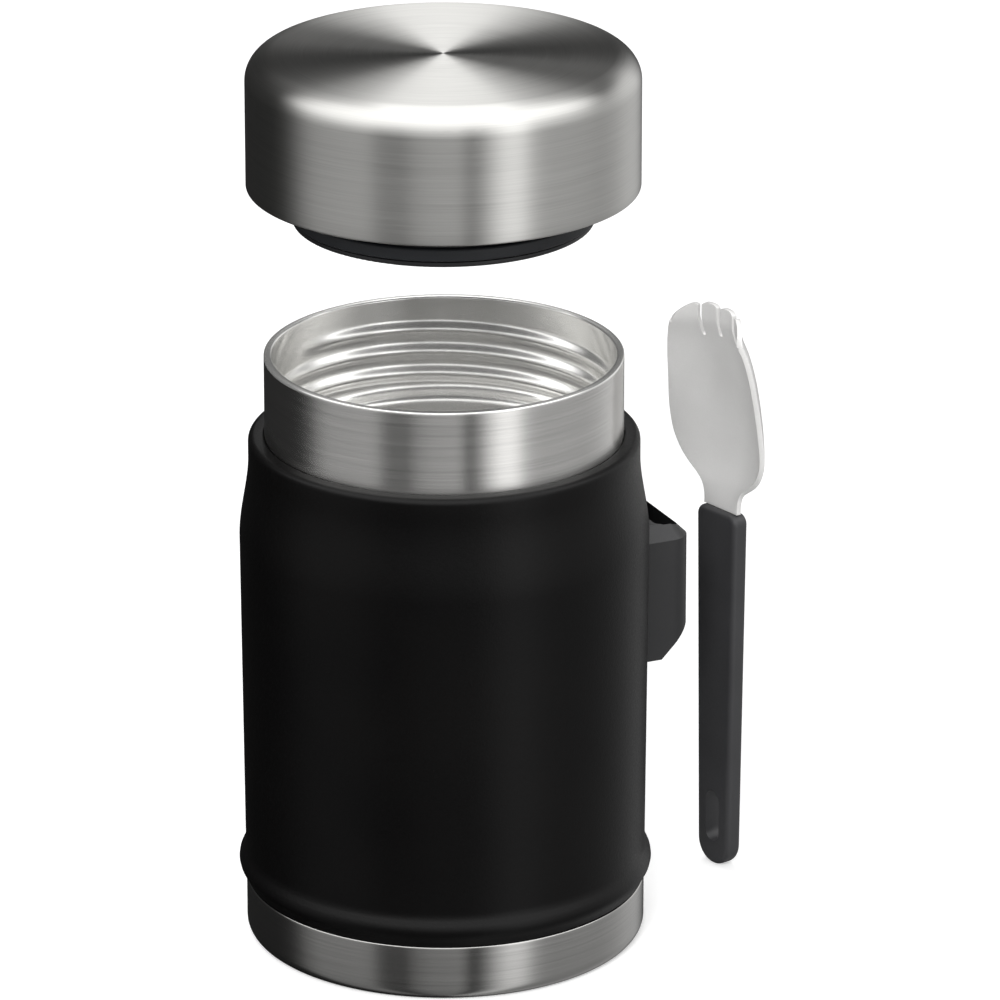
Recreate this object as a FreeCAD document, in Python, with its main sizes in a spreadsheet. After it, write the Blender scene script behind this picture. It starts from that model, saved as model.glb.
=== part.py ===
"""Insulated food jar with a screw lid, a spork holder and a spork.

Millimetres, +Z up. The origin is the centre of the base, where the jar stands, and +X runs
through the spork holder. The lid's pieces are drawn screwed home and then lifted by a whole
number of turns, so that its thread still matches the jar's.
"""

import os
import re

import FreeCAD
import Part
import Sketcher
from FreeCAD import Placement, Rotation, Vector

# Driving dimensions, all in millimetres except turns and degrees.
SIZES = {
    # Steel body.
    "sheet": 0.6,
    "coated_sheet": 0.8,
    "base_radius": 46.4,
    "base_corner": 3.0,
    "base_height": 13.5,
    "base_groove_depth": 1.2,
    "base_groove_inner": 26.0,
    "base_groove_outer": 36.2,
    "base_groove_slope": 1.6,
    "foot_radius": 46.2,
    "foot_height": 14.0,
    "lap_depth": 6.0,
    "bead_top": 21.4,
    "bead_round": 5.0,
    "body_low_radius": 46.5,
    "body_high_radius": 47.2,
    "shoulder_start": 99.0,
    "shoulder_middle": 108.5,
    "shoulder_end": 118.0,
    "shoulder_middle_radius": 46.1,
    "shoulder_round": 41.6,
    "ledge_radius": 45.0,
    "ledge_height": 122.0,
    "ledge_round": 1.5,
    "flange_depth": 3.5,
    "collar_radius": 41.2,
    "collar_foot": 117.5,
    "collar_gap": 0.1,
    # Inner vessel and its neck.
    "rim_height": 141.4,
    "lip_height": 0.6,
    "lip_round": 0.4,
    "neck_radius": 39.4,
    "bore_radius": 35.5,
    "seat_round": 1.95,
    "seat_height": 118.25,
    "vessel_floor": 7.1,
    "vessel_corner": 8.0,
    # Vacuum bottom.
    "vacuum_floor": 3.8,
    "vacuum_corner": 4.0,
    "vacuum_rim": 10.5,
    "seal_hole_radius": 1.0,
    "seal_button_radius": 3.0,
    "seal_button_height": 0.8,
    "getter_radius": 5.0,
    "getter_height": 1.2,
    "getter_offset": 20.0,
    # Thread, right hand, shared by the neck and the plug.
    "thread_pitch": 5.4,
    "thread_bite": 0.2,
    "neck_thread_height": 1.2,
    "neck_thread_foot": 121.6,
    "neck_thread_turns": 2.35,
    "neck_thread_base": 1.5,
    "neck_thread_crest": 0.6,
    "plug_thread_height": 1.4,
    "plug_thread_foot": 124.3,
    "plug_thread_turns": 2.0,
    "plug_thread_base": 1.2,
    "plug_thread_crest": 0.4,
    # Lid, given as screwed home.
    "lid_turns": 11.0,
    "lid_foot": 122.4,
    "lid_top": 153.3,
    "lid_radius": 44.85,
    "lid_corner": 6.0,
    "hem_height": 1.2,
    "hem_width": 1.3,
    "hem_round": 0.5,
    "liner_wall": 1.6,
    "liner_deck": 142.2,
    "deck_thickness": 2.0,
    "deck_hole_radius": 37.8,
    "plug_radius": 37.6,
    "plug_wall": 2.0,
    "plug_flange_radius": 41.5,
    "plug_flange_thickness": 1.6,
    "plug_shoulder": 122.0,
    "plug_nose": 118.9,
    "plug_nose_radius": 35.0,
    "plug_groove_radius": 32.8,
    "plug_end": 115.1,
    "plug_foot": 113.9,
    "cover_radius": 34.4,
    "cover_spigot": 2.4,
    "cover_round": 0.8,
    "spigot_wall": 1.8,
    "foam_gap": 0.2,
    "foam_shoulder": 147.0,
    "foam_radius": 41.0,
    "ring_gap": 0.3,
    "ring_radius": 35.2,
    "ring_round": 0.8,
    # Spork holder and its welded bracket.
    "holder_face": 57.5,
    "holder_half_width": 13.0,
    "holder_corner": 5.0,
    "holder_foot": 62.5,
    "holder_top": 95.0,
    "holder_bevel": 3.2,
    "holder_taper": 8.0,
    "holder_seat_radius": 47.25,
    "slot_inner": 49.4,
    "slot_outer": 55.2,
    "slot_half_width": 10.0,
    "slot_round": 2.0,
    "bracket_inner_radius": 47.2,
    "bracket_thickness": 0.9,
    "bracket_foot": 68.0,
    "bracket_top": 90.0,
    "bracket_degrees": 14.0,
    "recess_degrees": 14.6,
    "recess_gap": 0.1,
    "recess_top": 90.5,
    # Spork, upright beside the holder.
    "spork_distance": 74.0,
    "spork_side": 5.7,
    "spork_yaw": -76.0,
    "grip_height": 90.0,
    "grip_foot_radius": 5.6,
    "grip_top_half_width": 7.0,
    "grip_top_round": 2.5,
    "grip_thickness": 4.4,
    "grip_edge": 1.2,
    "hole_low": 8.4,
    "hole_high": 16.3,
    "hole_radius": 2.4,
    "tang_half_width": 3.6,
    "tang_half_thickness": 0.6,
    "tang_foot": 46.0,
    "tang_gap": 0.05,
    "head_gap": 0.2,
    "head_tip": 140.5,
    "tine_depth": 7.5,
    "tine_slot": 1.1,
    "tine_step": 6.2,
    "tine_side_drop": 1.2,
}

# The spork's head at each height above the floor: half its width, how far its rim stands
# forward of the tang, and the depth of the bowl behind the rim. The last line lies past the tip.
HEAD_FORM = [
    (88.0, 6.1, 0.0, 0.0),
    (92.0, 6.0, 0.0, 0.1),
    (95.2, 7.2, 0.1, 0.7),
    (98.6, 11.6, 0.5, 2.2),
    (101.2, 14.0, 0.9, 3.3),
    (105.5, 16.0, 1.6, 4.6),
    (112.0, 16.6, 2.6, 5.8),
    (119.5, 16.1, 3.5, 6.2),
    (126.0, 15.4, 4.4, 6.0),
    (131.5, 14.2, 5.3, 5.5),
    (135.3, 12.6, 6.0, 5.0),
    (142.0, 12.0, 7.4, 4.4),
]
HEAD_SHOULDER = (9.6, 138.6)
# The bowl is sampled at these shares of its half width. Its floor is flat and its sides are steep.
BOWL_ACROSS = [-1.4, -1.2, -1.0, -0.8, -0.6, -0.4, -0.2, 0.0, 0.2, 0.4, 0.6, 0.8, 1.0, 1.2, 1.4]
BOWL_STEEPNESS = 3

# Two places nearer than this are the same place.
TOUCHING = 0.01

doc = FreeCAD.newDocument("food_jar")
sheet = doc.addObject("Spreadsheet::Sheet", "Sizes")
pieces = []


def fill_sheet():
    """Write each driving dimension into the sheet, with its name beside it."""
    for row, (alias, size) in enumerate(SIZES.items(), start=1):
        sheet.set(f"A{row}", alias)
        sheet.set(f"B{row}", str(size))
        sheet.setAlias(f"B{row}", alias)
    doc.recompute()


def amount(formula):
    """Value of a sum or difference of sheet names and plain numbers."""
    total = 0.0
    for sign, term in re.findall(r"([+-]?)\s*([\w.]+)", formula):
        size = getattr(sheet, term) if term[0].isalpha() else float(term)
        total += -size if sign == "-" else size
    return total


def bound(formula):
    """The same formula as an expression on the sheet."""
    return re.sub(r"([a-z_]+)", r"Sizes.\1", formula)


def new_body(name, lift=None):
    """A body that is one piece of the object, lifted with the lid if asked."""
    body = doc.addObject("PartDesign::Body", name)
    body.Label = name
    if lift:
        body.setExpression("Placement.Base.z", lift)
    pieces.append(body)
    return body


def origin_plane(body, role):
    """One of the body's own origin planes."""
    return next(item for item in body.Origin.OriginFeatures if item.Role == role)


def new_sketch(body, name, role, offset=None):
    """A sketch on an origin plane, moved along its normal by the given formula."""
    sketch = body.newObject("Sketcher::SketchObject", f"{body.Name}_{name}")
    sketch.AttachmentSupport = [(origin_plane(body, role), "")]
    sketch.MapMode = "FlatFace"
    if offset:
        sketch.setExpression("AttachmentOffset.Base.z", bound(offset))
    return sketch


def arc_between(start, end, radius, side):
    """The short arc from start to end, bulging to the left (+1) or the right (-1) of the way."""
    chord = end - start
    across = Vector(-chord.y, chord.x, 0).normalize() * side
    half = chord.Length / 2
    sagitta = radius - max(radius**2 - half**2, 0.0) ** 0.5
    return Part.Arc(start, (start + end) * 0.5 + across * sagitta, end)


def pin(sketch, geometry, end, axis, formula):
    """Hold one coordinate of a point to its formula on the sheet."""
    size = amount(formula)
    if abs(size) < TOUCHING:
        line = -2 if axis == "X" else -1
        sketch.addConstraint(Sketcher.Constraint("PointOnObject", geometry, end, line))
        return
    ends = (-1, 1, geometry, end) if size > 0 else (geometry, end, -1, 1)
    place = sketch.addConstraint(Sketcher.Constraint(f"Distance{axis}", *ends, abs(size)))
    distance = bound(formula) if size > 0 else f"-({bound(formula)})"
    sketch.setExpression(f"Constraints[{place}]", distance)


def nearest_end(sketch, geometry, point):
    """Which end of an edge lies at the point."""
    return min((1, 2), key=lambda end: (sketch.getPoint(geometry, end) - point).Length)


def draw(sketch, corners):
    """Draw a closed outline. A corner is (across, up) or (across, up, radius, side), whose
    last two make the edge that leaves it an arc."""
    points = [Vector(amount(corner[0]), amount(corner[1]), 0) for corner in corners]
    following = points[1:] + points[:1]
    edges = []
    for corner, start, end in zip(corners, points, following):
        if len(corner) == 4:
            shape = arc_between(start, end, amount(corner[2]), corner[3])
        else:
            shape = Part.LineSegment(start, end)
        edges.append(sketch.addGeometry(shape, False))
    for place, corner in enumerate(corners):
        start_end = nearest_end(sketch, edges[place], points[place])
        before_end = nearest_end(sketch, edges[place - 1], points[place])
        sketch.addConstraint(
            Sketcher.Constraint("Coincident", edges[place - 1], before_end, edges[place], start_end)
        )
        pin(sketch, edges[place], start_end, "X", corner[0])
        pin(sketch, edges[place], start_end, "Y", corner[1])
        if len(corner) == 4:
            radius = sketch.addConstraint(
                Sketcher.Constraint("Radius", edges[place], amount(corner[2]))
            )
            sketch.setExpression(f"Constraints[{radius}]", bound(corner[2]))


def revolve(name, corners, lift=None):
    """A body turned about the jar's axis from an outline of radius and height."""
    body = new_body(name, lift)
    sketch = new_sketch(body, "profile", "XZ_Plane")
    draw(sketch, corners)
    turned = body.newObject("PartDesign::Revolution", f"{name}_turned")
    turned.Profile = sketch
    turned.ReferenceAxis = (sketch, ["V_Axis"])
    turned.Angle = 360
    body.Tip = turned
    return body


def add_thread(body, root, height, foot, half_base, half_crest, turns):
    """A right-hand ridge wound up the wall. Height is the formula of the crest's radius."""
    sketch = new_sketch(body, "ridge", "XZ_Plane")
    draw(
        sketch,
        [
            (root, f"{foot}-{half_base}"),
            (height, f"{foot}-{half_crest}"),
            (height, f"{foot}+{half_crest}"),
            (root, f"{foot}+{half_base}"),
        ],
    )
    ridge = body.newObject("PartDesign::AdditiveHelix", f"{body.Name}_thread")
    ridge.Profile = sketch
    ridge.ReferenceAxis = (sketch, ["V_Axis"])
    ridge.Mode = "pitch-turns-angle"
    ridge.setExpression("Pitch", "Sizes.thread_pitch")
    ridge.setExpression("Turns", f"Sizes.{turns}")
    body.Tip = ridge


# Steel body.


def make_base_cup():
    """Bare steel cup with a stamped ring in its floor, which shows as the band under the coat."""
    revolve(
        "base_cup",
        [
            ("0", "0"),
            ("base_groove_inner", "0"),
            ("base_groove_inner+base_groove_slope", "base_groove_depth"),
            ("base_groove_outer-base_groove_slope", "base_groove_depth"),
            ("base_groove_outer", "0"),
            ("base_radius-base_corner", "0", "base_corner", -1),
            ("base_radius", "base_corner"),
            ("base_radius", "base_height"),
            ("base_radius-sheet", "base_height"),
            ("base_radius-sheet", "base_corner", "base_corner-sheet", 1),
            ("base_radius-base_corner", "sheet"),
            ("base_groove_outer+sheet", "sheet"),
            ("base_groove_outer-base_groove_slope+sheet", "base_groove_depth+sheet"),
            ("base_groove_inner+base_groove_slope-sheet", "base_groove_depth+sheet"),
            ("base_groove_inner-sheet", "sheet"),
            ("0", "sheet"),
        ],
    )


def make_body_shell():
    """Coated outer shell: lap inside the base cup, bead, straight wall, shoulder and ledge."""
    lap = "base_radius-sheet"
    revolve(
        "body_shell",
        [
            (f"{lap}-sheet", "foot_height-lap_depth"),
            (lap, "foot_height-lap_depth"),
            (lap, "foot_height"),
            ("foot_radius", "foot_height", "bead_round", -1),
            ("body_low_radius", "bead_top"),
            ("body_high_radius", "shoulder_start", "shoulder_round", -1),
            ("shoulder_middle_radius", "shoulder_middle", "shoulder_round", 1),
            ("ledge_radius", "shoulder_end"),
            ("ledge_radius", "ledge_height-ledge_round", "ledge_round", -1),
            ("ledge_radius-ledge_round", "ledge_height"),
            ("collar_radius+collar_gap", "ledge_height"),
            ("collar_radius+collar_gap", "ledge_height-flange_depth"),
            ("collar_radius+collar_gap+coated_sheet", "ledge_height-flange_depth"),
            ("collar_radius+collar_gap+coated_sheet", "ledge_height-coated_sheet"),
            (
                "ledge_radius-ledge_round",
                "ledge_height-coated_sheet",
                "ledge_round-coated_sheet",
                1,
            ),
            ("ledge_radius-coated_sheet", "ledge_height-ledge_round"),
            ("ledge_radius-coated_sheet", "shoulder_end", "shoulder_round", -1),
            ("shoulder_middle_radius-coated_sheet", "shoulder_middle", "shoulder_round", 1),
            ("body_high_radius-coated_sheet", "shoulder_start"),
            ("body_low_radius-coated_sheet", "bead_top", "bead_round-coated_sheet", 1),
            (f"{lap}-sheet", "foot_height+sheet"),
        ],
    )


def make_neck_collar():
    """Bare steel ring round the neck, from inside the ledge up to the lip."""
    revolve(
        "neck_collar",
        [
            ("collar_radius-sheet", "collar_foot"),
            ("collar_radius", "collar_foot"),
            ("collar_radius", "rim_height-lip_height"),
            ("collar_radius-sheet", "rim_height-lip_height"),
        ],
    )


def make_inner_vessel():
    """Steel food vessel: floor, bore, seat for the seal, threaded neck and rolled lip."""
    seat_low = "seat_height-seat_round"
    seat_high = "seat_height+seat_round"
    body = revolve(
        "inner_vessel",
        [
            ("0", "vessel_floor-sheet"),
            ("bore_radius-vessel_corner+sheet", "vessel_floor-sheet", "vessel_corner", -1),
            ("bore_radius+sheet", "vessel_floor+vessel_corner-sheet"),
            ("bore_radius+sheet", f"{seat_low}-sheet", "seat_round", 1),
            ("bore_radius+seat_round+sheet", "seat_height-sheet", "seat_round", -1),
            ("neck_radius+sheet", f"{seat_high}-sheet"),
            ("neck_radius+sheet", "rim_height-lip_height"),
            ("collar_radius", "rim_height-lip_height"),
            ("collar_radius", "rim_height-lip_round", "lip_round", -1),
            ("collar_radius-lip_round", "rim_height"),
            ("neck_radius+lip_round", "rim_height", "lip_round", -1),
            ("neck_radius", "rim_height-lip_round"),
            ("neck_radius", seat_high, "seat_round", 1),
            ("bore_radius+seat_round", "seat_height", "seat_round", -1),
            ("bore_radius", seat_low),
            ("bore_radius", "vessel_floor+vessel_corner", "vessel_corner", 1),
            ("bore_radius-vessel_corner", "vessel_floor"),
            ("0", "vessel_floor"),
        ],
    )
    add_thread(
        body,
        "neck_radius+thread_bite",
        "neck_radius-neck_thread_height",
        "neck_thread_foot",
        "neck_thread_base",
        "neck_thread_crest",
        "neck_thread_turns",
    )


def make_vacuum_bottom():
    """Dished plate that closes the vacuum space, with the hole it was pumped through."""
    rim = "base_radius-sheet-sheet"
    revolve(
        "vacuum_bottom",
        [
            ("seal_hole_radius", "vacuum_floor"),
            (f"{rim}-vacuum_corner", "vacuum_floor", "vacuum_corner", -1),
            (rim, "vacuum_floor+vacuum_corner"),
            (rim, "vacuum_rim"),
            (f"{rim}-sheet", "vacuum_rim"),
            (f"{rim}-sheet", "vacuum_floor+vacuum_corner", "vacuum_corner-sheet", 1),
            (f"{rim}-vacuum_corner", "vacuum_floor+sheet"),
            ("seal_hole_radius", "vacuum_floor+sheet"),
        ],
    )


def make_seal_button():
    """Bead of sealing glass that fills the pumping hole."""
    revolve(
        "seal_button",
        [
            ("0", "vacuum_floor-seal_button_height"),
            ("seal_button_radius", "vacuum_floor-seal_button_height"),
            ("seal_button_radius", "vacuum_floor"),
            ("seal_hole_radius", "vacuum_floor"),
            ("seal_hole_radius", "vacuum_floor+sheet"),
            ("0", "vacuum_floor+sheet"),
        ],
    )


def make_getter():
    """Pellet on the vacuum plate that takes up stray gas."""
    getter = doc.addObject("Part::Cylinder", "getter")
    getter.Label = "getter"
    getter.setExpression("Radius", "Sizes.getter_radius")
    getter.setExpression("Height", "Sizes.getter_height")
    getter.setExpression("Placement.Base.x", "Sizes.getter_offset")
    getter.setExpression("Placement.Base.z", "Sizes.vacuum_floor + Sizes.sheet")
    pieces.append(getter)


# Lid.

LIFT = "Sizes.lid_turns * Sizes.thread_pitch"


def make_lid_shell():
    """Brushed steel cap with a rounded top corner and a folded hem."""
    revolve(
        "lid_shell",
        [
            ("lid_radius-hem_width", "lid_foot+hem_round", "hem_round", 1),
            ("lid_radius-hem_width+hem_round", "lid_foot"),
            ("lid_radius-hem_round", "lid_foot", "hem_round", -1),
            ("lid_radius", "lid_foot+hem_round"),
            ("lid_radius", "lid_top-lid_corner", "lid_corner", -1),
            ("lid_radius-lid_corner", "lid_top"),
            ("0", "lid_top"),
            ("0", "lid_top-sheet"),
            ("lid_radius-lid_corner", "lid_top-sheet", "lid_corner-sheet", 1),
            ("lid_radius-sheet", "lid_top-lid_corner"),
            ("lid_radius-sheet", "lid_foot+hem_height"),
            ("lid_radius-hem_width", "lid_foot+hem_height"),
        ],
        LIFT,
    )


def make_lid_liner():
    """Plastic inner cap: wall inside the steel skirt and a deck over the jar's rim."""
    outer = "lid_radius-sheet"
    revolve(
        "lid_liner",
        [
            (f"{outer}-liner_wall", "lid_foot+hem_height"),
            (outer, "lid_foot+hem_height"),
            (outer, "liner_deck+deck_thickness"),
            ("deck_hole_radius", "liner_deck+deck_thickness"),
            ("deck_hole_radius", "liner_deck"),
            (f"{outer}-liner_wall", "liner_deck"),
        ],
        LIFT,
    )


def make_lid_plug():
    """Hollow stopper with a male thread, a flange on the deck and a groove for the seal."""
    deck_top = "liner_deck+deck_thickness"
    bore = "plug_radius-plug_wall"
    body = revolve(
        "lid_plug",
        [
            ("plug_groove_radius-spigot_wall", "plug_end"),
            ("plug_groove_radius", "plug_end"),
            ("plug_groove_radius", "plug_nose"),
            ("plug_nose_radius", "plug_nose"),
            ("plug_radius", "plug_shoulder"),
            ("plug_radius", deck_top),
            ("plug_flange_radius", deck_top),
            ("plug_flange_radius", f"{deck_top}+plug_flange_thickness"),
            (bore, f"{deck_top}+plug_flange_thickness"),
            (bore, "plug_shoulder+plug_wall"),
            ("plug_groove_radius-spigot_wall", "plug_nose+plug_wall"),
        ],
        LIFT,
    )
    add_thread(
        body,
        "plug_radius-thread_bite",
        "plug_radius+plug_thread_height",
        "plug_thread_foot",
        "plug_thread_base",
        "plug_thread_crest",
        "plug_thread_turns",
    )


def make_plug_cover():
    """Disc welded into the stopper's open end, whose rim keeps the seal on."""
    spigot = "plug_groove_radius-spigot_wall"
    revolve(
        "plug_cover",
        [
            ("0", "plug_foot"),
            ("cover_radius-cover_round", "plug_foot", "cover_round", -1),
            ("cover_radius", "plug_foot+cover_round"),
            ("cover_radius", "plug_end"),
            (spigot, "plug_end"),
            (spigot, "plug_end+cover_spigot"),
            (f"{spigot}-spigot_wall", "plug_end+cover_spigot"),
            (f"{spigot}-spigot_wall", "plug_end"),
            ("0", "plug_end"),
        ],
        LIFT,
    )


def make_lid_foam():
    """Insulating foam that fills the stopper and the space over the deck."""
    bore = "plug_radius-plug_wall-foam_gap"
    revolve(
        "lid_foam",
        [
            ("0", "plug_shoulder+plug_wall+foam_gap"),
            (bore, "plug_shoulder+plug_wall+foam_gap"),
            (bore, "foam_shoulder"),
            ("foam_radius-lid_corner+sheet", "foam_shoulder"),
            ("foam_radius-lid_corner+sheet", "lid_top-sheet-foam_gap"),
            ("0", "lid_top-sheet-foam_gap"),
        ],
        LIFT,
    )


def make_seal_ring():
    """Silicone ring, loose in the stopper's groove, that wipes the vessel's bore."""
    inner = "plug_groove_radius+ring_gap"
    low = "plug_end+ring_gap"
    high = "plug_nose-ring_gap"
    revolve(
        "seal_ring",
        [
            (inner, low),
            ("ring_radius-ring_round", low, "ring_round", -1),
            ("ring_radius", f"{low}+ring_round"),
            ("ring_radius", f"{high}-ring_round", "ring_round", -1),
            ("ring_radius-ring_round", high),
            (inner, high),
        ],
        LIFT,
    )


# Spork holder.


def make_holder_bracket():
    """Curved plate welded to the shell, which the holder is pushed down over."""
    body = new_body("holder_bracket")
    sketch = new_sketch(body, "section", "XZ_Plane")
    outer = "bracket_inner_radius+bracket_thickness"
    draw(
        sketch,
        [
            ("bracket_inner_radius", "bracket_foot"),
            (outer, "bracket_foot"),
            (outer, "bracket_top"),
            ("bracket_inner_radius", "bracket_top"),
        ],
    )
    plate = body.newObject("PartDesign::Revolution", "holder_bracket_plate")
    plate.Profile = sketch
    plate.ReferenceAxis = (sketch, ["V_Axis"])
    plate.Midplane = True
    plate.setExpression("Angle", "Sizes.bracket_degrees")
    body.Tip = plate


def cut_round(body, name, corners, angle=None):
    """Turn an outline of radius and height about the jar's axis and cut it away."""
    sketch = new_sketch(body, name, "XZ_Plane")
    draw(sketch, corners)
    groove = body.newObject("PartDesign::Groove", f"{body.Name}_{name}_cut")
    groove.Profile = sketch
    groove.ReferenceAxis = (sketch, ["V_Axis"])
    groove.Midplane = True
    if angle:
        groove.setExpression("Angle", angle)
    else:
        groove.Angle = 360
    body.Tip = groove


def top_edges(shape):
    """Names of the edges round the top face, without the one against the jar."""
    top = amount("holder_top")
    back = amount("collar_radius")
    names = []
    for place, edge in enumerate(shape.Edges, start=1):
        box = edge.BoundBox
        if box.ZMin > top - TOUCHING and box.XMax > back + TOUCHING:
            names.append(f"Edge{place}")
    return names


def make_spork_holder():
    """Moulded loop, open above and below, that the spork's grip drops through."""
    body = new_body("spork_holder")
    outline = new_sketch(body, "outline", "XY_Plane", "holder_foot")
    side = "holder_half_width"
    draw(
        outline,
        [
            ("collar_radius", f"-{side}"),
            ("holder_face-holder_corner", f"-{side}", "holder_corner", -1),
            ("holder_face", f"-{side}+holder_corner"),
            ("holder_face", f"{side}-holder_corner", "holder_corner", -1),
            ("holder_face-holder_corner", side),
            ("collar_radius", side),
        ],
    )
    block = body.newObject("PartDesign::Pad", "spork_holder_block")
    block.Profile = outline
    block.setExpression("Length", "Sizes.holder_top - Sizes.holder_foot")
    body.Tip = block
    doc.recompute()

    bevel = body.newObject("PartDesign::Chamfer", "spork_holder_bevel")
    bevel.Base = (block, top_edges(block.Shape))
    bevel.setExpression("Size", "Sizes.holder_bevel")
    body.Tip = bevel

    corner = new_sketch(body, "taper", "XZ_Plane")
    draw(
        corner,
        [
            ("holder_face-holder_taper", "holder_foot"),
            ("holder_face+holder_taper", "holder_foot-holder_taper"),
            ("holder_face+holder_taper", "holder_foot+holder_taper+holder_taper"),
        ],
    )
    taper = body.newObject("PartDesign::Pocket", "spork_holder_taper_cut")
    taper.Profile = corner
    taper.Type = "ThroughAll"
    taper.Midplane = True
    body.Tip = taper

    slot = new_sketch(body, "slot", "XY_Plane", "holder_foot")
    side = "slot_half_width"
    draw(
        slot,
        [
            ("slot_inner", f"{side}-slot_round"),
            ("slot_inner", f"-{side}+slot_round", "slot_round", -1),
            ("slot_inner+slot_round", f"-{side}"),
            ("slot_outer-slot_round", f"-{side}", "slot_round", -1),
            ("slot_outer", f"-{side}+slot_round"),
            ("slot_outer", f"{side}-slot_round", "slot_round", -1),
            ("slot_outer-slot_round", side),
            ("slot_inner+slot_round", side, "slot_round", -1),
        ],
    )
    opening = body.newObject("PartDesign::Pocket", "spork_holder_slot_cut")
    opening.Profile = slot
    opening.Type = "ThroughAll"
    opening.Midplane = True
    body.Tip = opening

    cut_round(
        body,
        "back",
        [
            ("0", "holder_foot-holder_taper"),
            ("holder_seat_radius", "holder_foot-holder_taper"),
            ("holder_seat_radius", "holder_top+holder_taper"),
            ("0", "holder_top+holder_taper"),
        ],
    )
    recess = "bracket_inner_radius+bracket_thickness+recess_gap"
    cut_round(
        body,
        "recess",
        [
            ("collar_radius", "holder_foot-holder_taper"),
            (recess, "holder_foot-holder_taper"),
            (recess, "recess_top"),
            ("collar_radius", "recess_top"),
        ],
        "Sizes.recess_degrees",
    )


# Spork.


def spork_place(piece):
    """Stand a piece, drawn facing along Y, at the spork's place beside the holder."""
    piece.setExpression("Placement.Base.x", "Sizes.spork_distance")
    piece.setExpression("Placement.Base.y", "Sizes.spork_side")
    piece.setExpression("Placement.Rotation.Angle", "Sizes.spork_yaw")


def broad_edges(shape):
    """Names of the edges that lie in the grip's two broad faces."""
    edges = enumerate(shape.Edges, start=1)
    return [f"Edge{place}" for place, edge in edges if edge.BoundBox.YLength < TOUCHING]


def make_spork_grip():
    """Tapered plastic grip with a round foot, a hanging hole and a socket for the tang."""
    body = new_body("spork_grip")
    outline = new_sketch(body, "outline", "XZ_Plane")
    draw(
        outline,
        [
            ("-grip_foot_radius", "grip_foot_radius", "grip_foot_radius", -1),
            ("0", "0", "grip_foot_radius", -1),
            ("grip_foot_radius", "grip_foot_radius"),
            ("grip_top_half_width", "grip_height-grip_top_round", "grip_top_round", -1),
            ("grip_top_half_width-grip_top_round", "grip_height"),
            ("-grip_top_half_width+grip_top_round", "grip_height", "grip_top_round", -1),
            ("-grip_top_half_width", "grip_height-grip_top_round"),
        ],
    )
    slab = body.newObject("PartDesign::Pad", "spork_grip_slab")
    slab.Profile = outline
    slab.Midplane = True
    slab.setExpression("Length", "Sizes.grip_thickness")
    body.Tip = slab
    doc.recompute()

    rounded = body.newObject("PartDesign::Fillet", "spork_grip_rounded")
    rounded.Base = (slab, broad_edges(slab.Shape))
    rounded.setExpression("Radius", "Sizes.grip_edge")
    body.Tip = rounded

    hole = new_sketch(body, "hole", "XZ_Plane")
    draw(
        hole,
        [
            ("hole_radius", "hole_low"),
            ("hole_radius", "hole_high", "hole_radius", -1),
            ("0", "hole_high+hole_radius", "hole_radius", -1),
            ("-hole_radius", "hole_high"),
            ("-hole_radius", "hole_low", "hole_radius", -1),
            ("0", "hole_low-hole_radius", "hole_radius", -1),
        ],
    )
    opening = body.newObject("PartDesign::Pocket", "spork_grip_hole_cut")
    opening.Profile = hole
    opening.Type = "ThroughAll"
    opening.Midplane = True
    body.Tip = opening

    socket = new_sketch(body, "socket", "XY_Plane", "grip_height")
    wide = "tang_half_width+tang_gap"
    thick = "tang_half_thickness+tang_gap"
    draw(
        socket,
        [
            (wide, "-tang_half_thickness-tang_gap"),
            (wide, thick),
            ("-tang_half_width-tang_gap", thick),
            ("-tang_half_width-tang_gap", "-tang_half_thickness-tang_gap"),
        ],
    )
    pocket = body.newObject("PartDesign::Pocket", "spork_grip_socket_cut")
    pocket.Profile = socket
    pocket.setExpression("Length", "Sizes.grip_height - Sizes.tang_foot + Sizes.tang_gap")
    body.Tip = pocket
    spork_place(body)


def head_outline():
    """Flat outline of the spork's head, from the foot up one side, over the tip and down."""
    side = [Vector(half, 0, up) for up, half, _, _ in HEAD_FORM[:-1]]
    mirror = [Vector(-point.x, 0, point.z) for point in side]
    right = Part.BSplineCurve()
    right.interpolate(side)
    left = Part.BSplineCurve()
    left.interpolate(mirror)
    tip = Vector(0, 0, amount("head_tip"))
    half, up = HEAD_SHOULDER
    over_right = Part.Arc(side[-1], Vector(half, 0, up), tip)
    over_left = Part.Arc(tip, Vector(-half, 0, up), mirror[-1])
    foot = Part.LineSegment(mirror[0], side[0])
    edges = [curve.toShape() for curve in (right, over_right, over_left, left, foot)]
    return Part.Face(Part.Wire(Part.__sortEdges__(edges)))


def bowl_sheet():
    """The formed sheet before it is trimmed: a smooth surface given the steel's thickness."""
    thick = amount("tang_half_thickness")
    rows = []
    for up, half, forward, depth in HEAD_FORM:
        row = []
        for share in BOWL_ACROSS:
            behind = depth * (1 - abs(share) ** BOWL_STEEPNESS) - forward
            row.append(Vector(share * half, behind - thick, up))
        rows.append(row)
    surface = Part.BSplineSurface()
    surface.interpolate(rows)
    return surface.toShape().extrude(Vector(0, 2 * thick, 0))


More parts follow.
